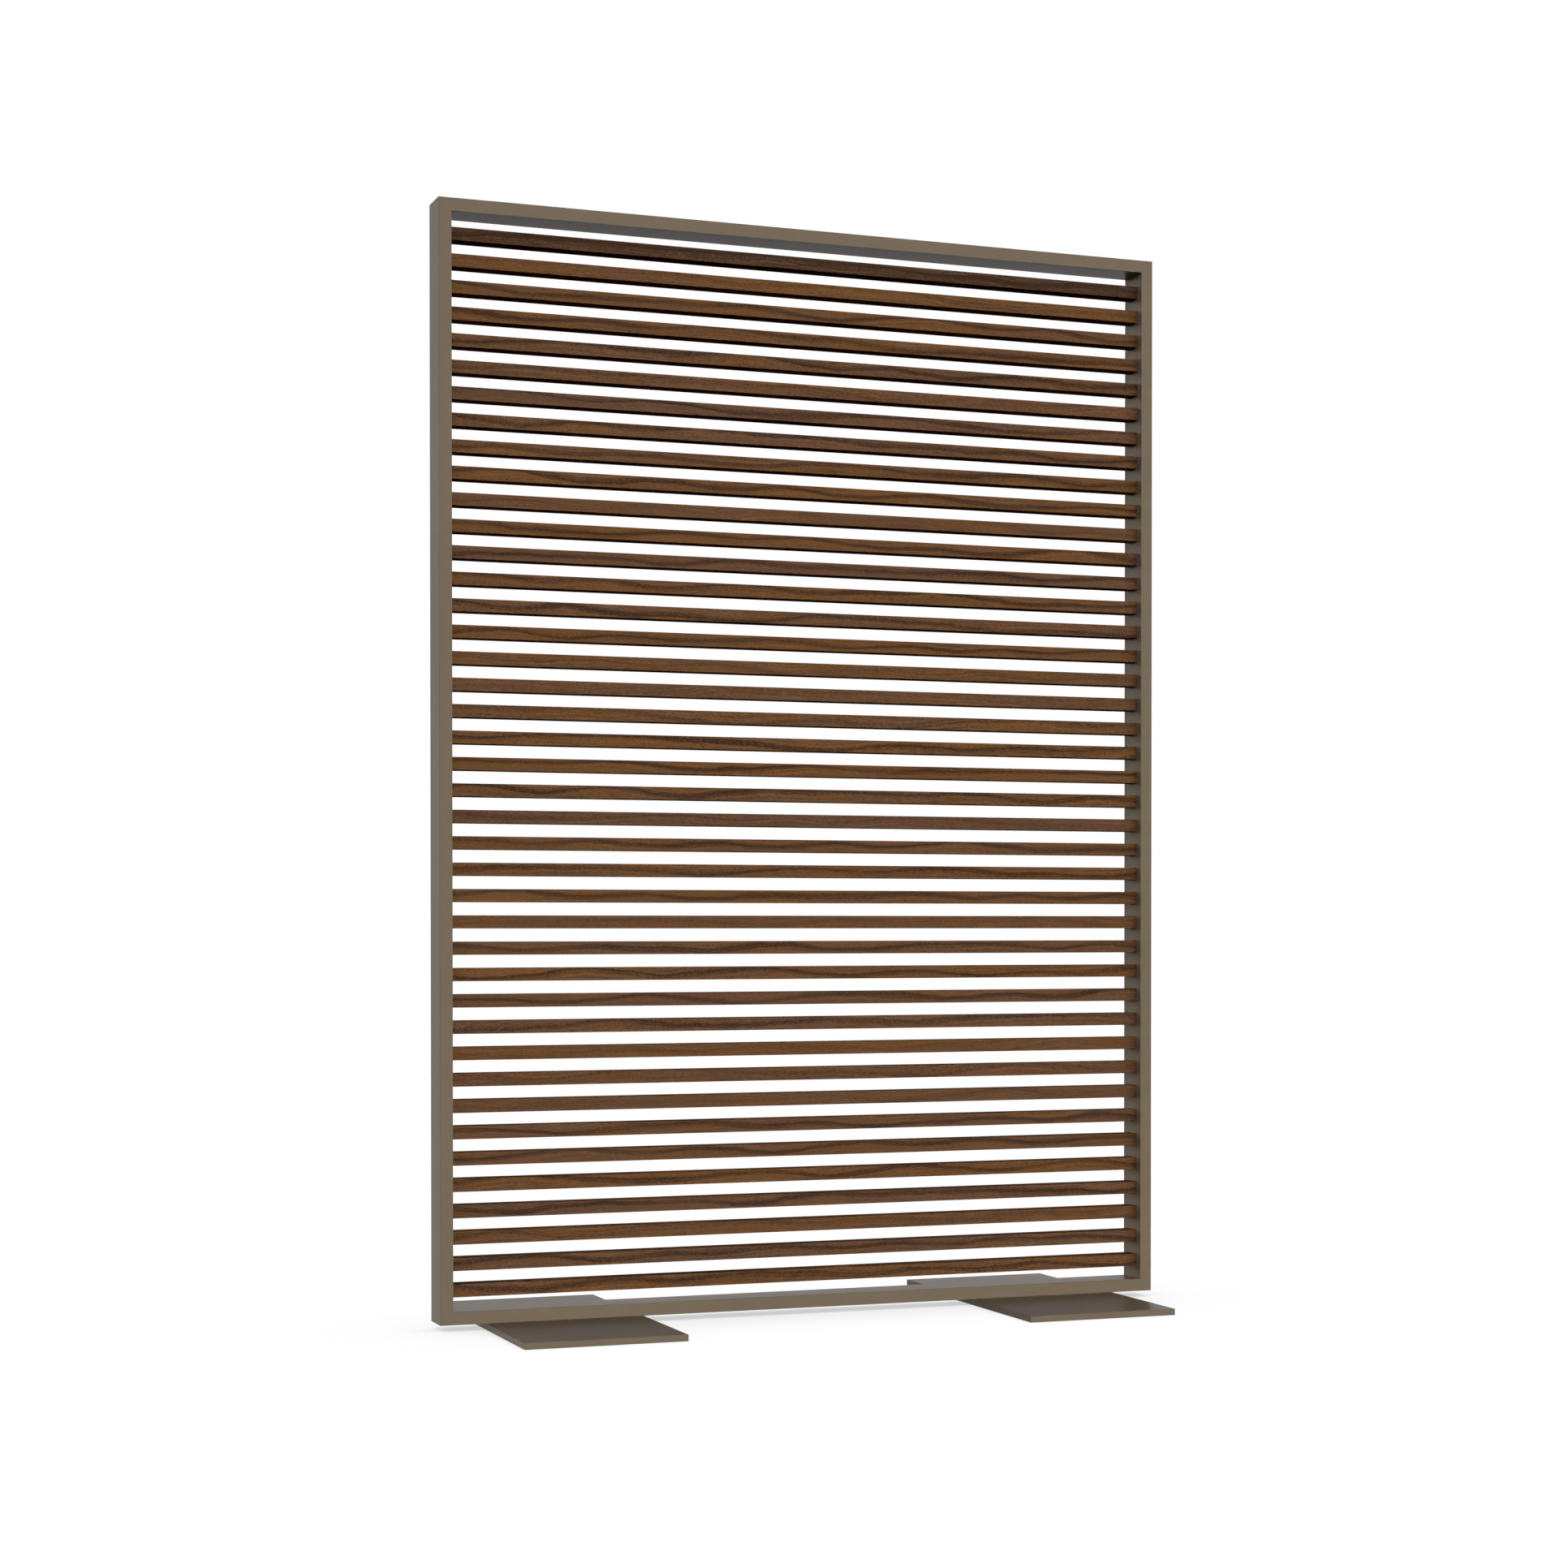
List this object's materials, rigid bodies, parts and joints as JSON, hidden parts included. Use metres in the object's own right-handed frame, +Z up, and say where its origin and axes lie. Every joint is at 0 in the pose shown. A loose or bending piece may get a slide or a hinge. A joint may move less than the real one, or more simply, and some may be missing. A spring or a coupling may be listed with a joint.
{
  "type": "garden privacy screen",
  "caption": "Free-standing garden privacy screen with level timber slats let into a mitred, powder-coated tube frame on flat steel foot plates.",
  "frame": {"origin": "on the ground, under the middle of the frame", "axes": "+X along the rails to the right, +Y from the front to the back, +Z up"},
  "size_m": [1.2, 0.5, 1.71],
  "materials": {
    "frame_coating": "satin taupe powder coat, very fine texture",
    "plate_coating": "satin taupe powder coat, very fine texture",
    "slat_timber": "oiled walnut-brown timber, planed and lightly sanded",
    "key_alloy": "mill finish, sawn from a hollow extrusion",
    "bar_steel": "zinc plated",
    "screw_steel": "stainless, turned"
  },
  "bodies": {
    "root": {"left_post": "frame_coating", "right_post": "frame_coating", "top_rail": "frame_coating", "bottom_rail": "frame_coating", "left_foot_plate": "plate_coating", "right_foot_plate": "plate_coating", "slat_01": "slat_timber", "slat_02": "slat_timber", "slat_03": "slat_timber", "slat_04": "slat_timber", "slat_05": "slat_timber", "slat_06": "slat_timber", "slat_07": "slat_timber", "slat_08": "slat_timber", "slat_09": "slat_timber", "slat_10": "slat_timber", "slat_11": "slat_timber", "slat_12": "slat_timber", "slat_13": "slat_timber", "slat_14": "slat_timber", "slat_15": "slat_timber", "slat_16": "slat_timber", "slat_17": "slat_timber", "slat_18": "slat_timber", "slat_19": "slat_timber", "slat_20": "slat_timber", "slat_21": "slat_timber", "slat_22": "slat_timber", "slat_23": "slat_timber", "slat_24": "slat_timber", "slat_25": "slat_timber", "slat_26": "slat_timber", "slat_27": "slat_timber", "slat_28": "slat_timber", "slat_29": "slat_timber", "slat_30": "slat_timber", "slat_31": "slat_timber", "slat_32": "slat_timber", "slat_33": "slat_timber", "slat_34": "slat_timber", "slat_35": "slat_timber", "slat_36": "slat_timber", "slat_37": "slat_timber", "slat_38": "slat_timber", "slat_39": "slat_timber", "slat_40": "slat_timber", "slat_41": "slat_timber", "top_left_corner_key": "key_alloy", "top_right_corner_key": "key_alloy", "bottom_left_corner_key": "key_alloy", "bottom_right_corner_key": "key_alloy", "left_anchor_bar": "bar_steel", "right_anchor_bar": "bar_steel", "left_foot_screw_1": "screw_steel", "left_foot_screw_2": "screw_steel", "left_foot_screw_3": "screw_steel", "right_foot_screw_1": "screw_steel", "right_foot_screw_2": "screw_steel", "right_foot_screw_3": "screw_steel"}
  },
  "joints": []
}
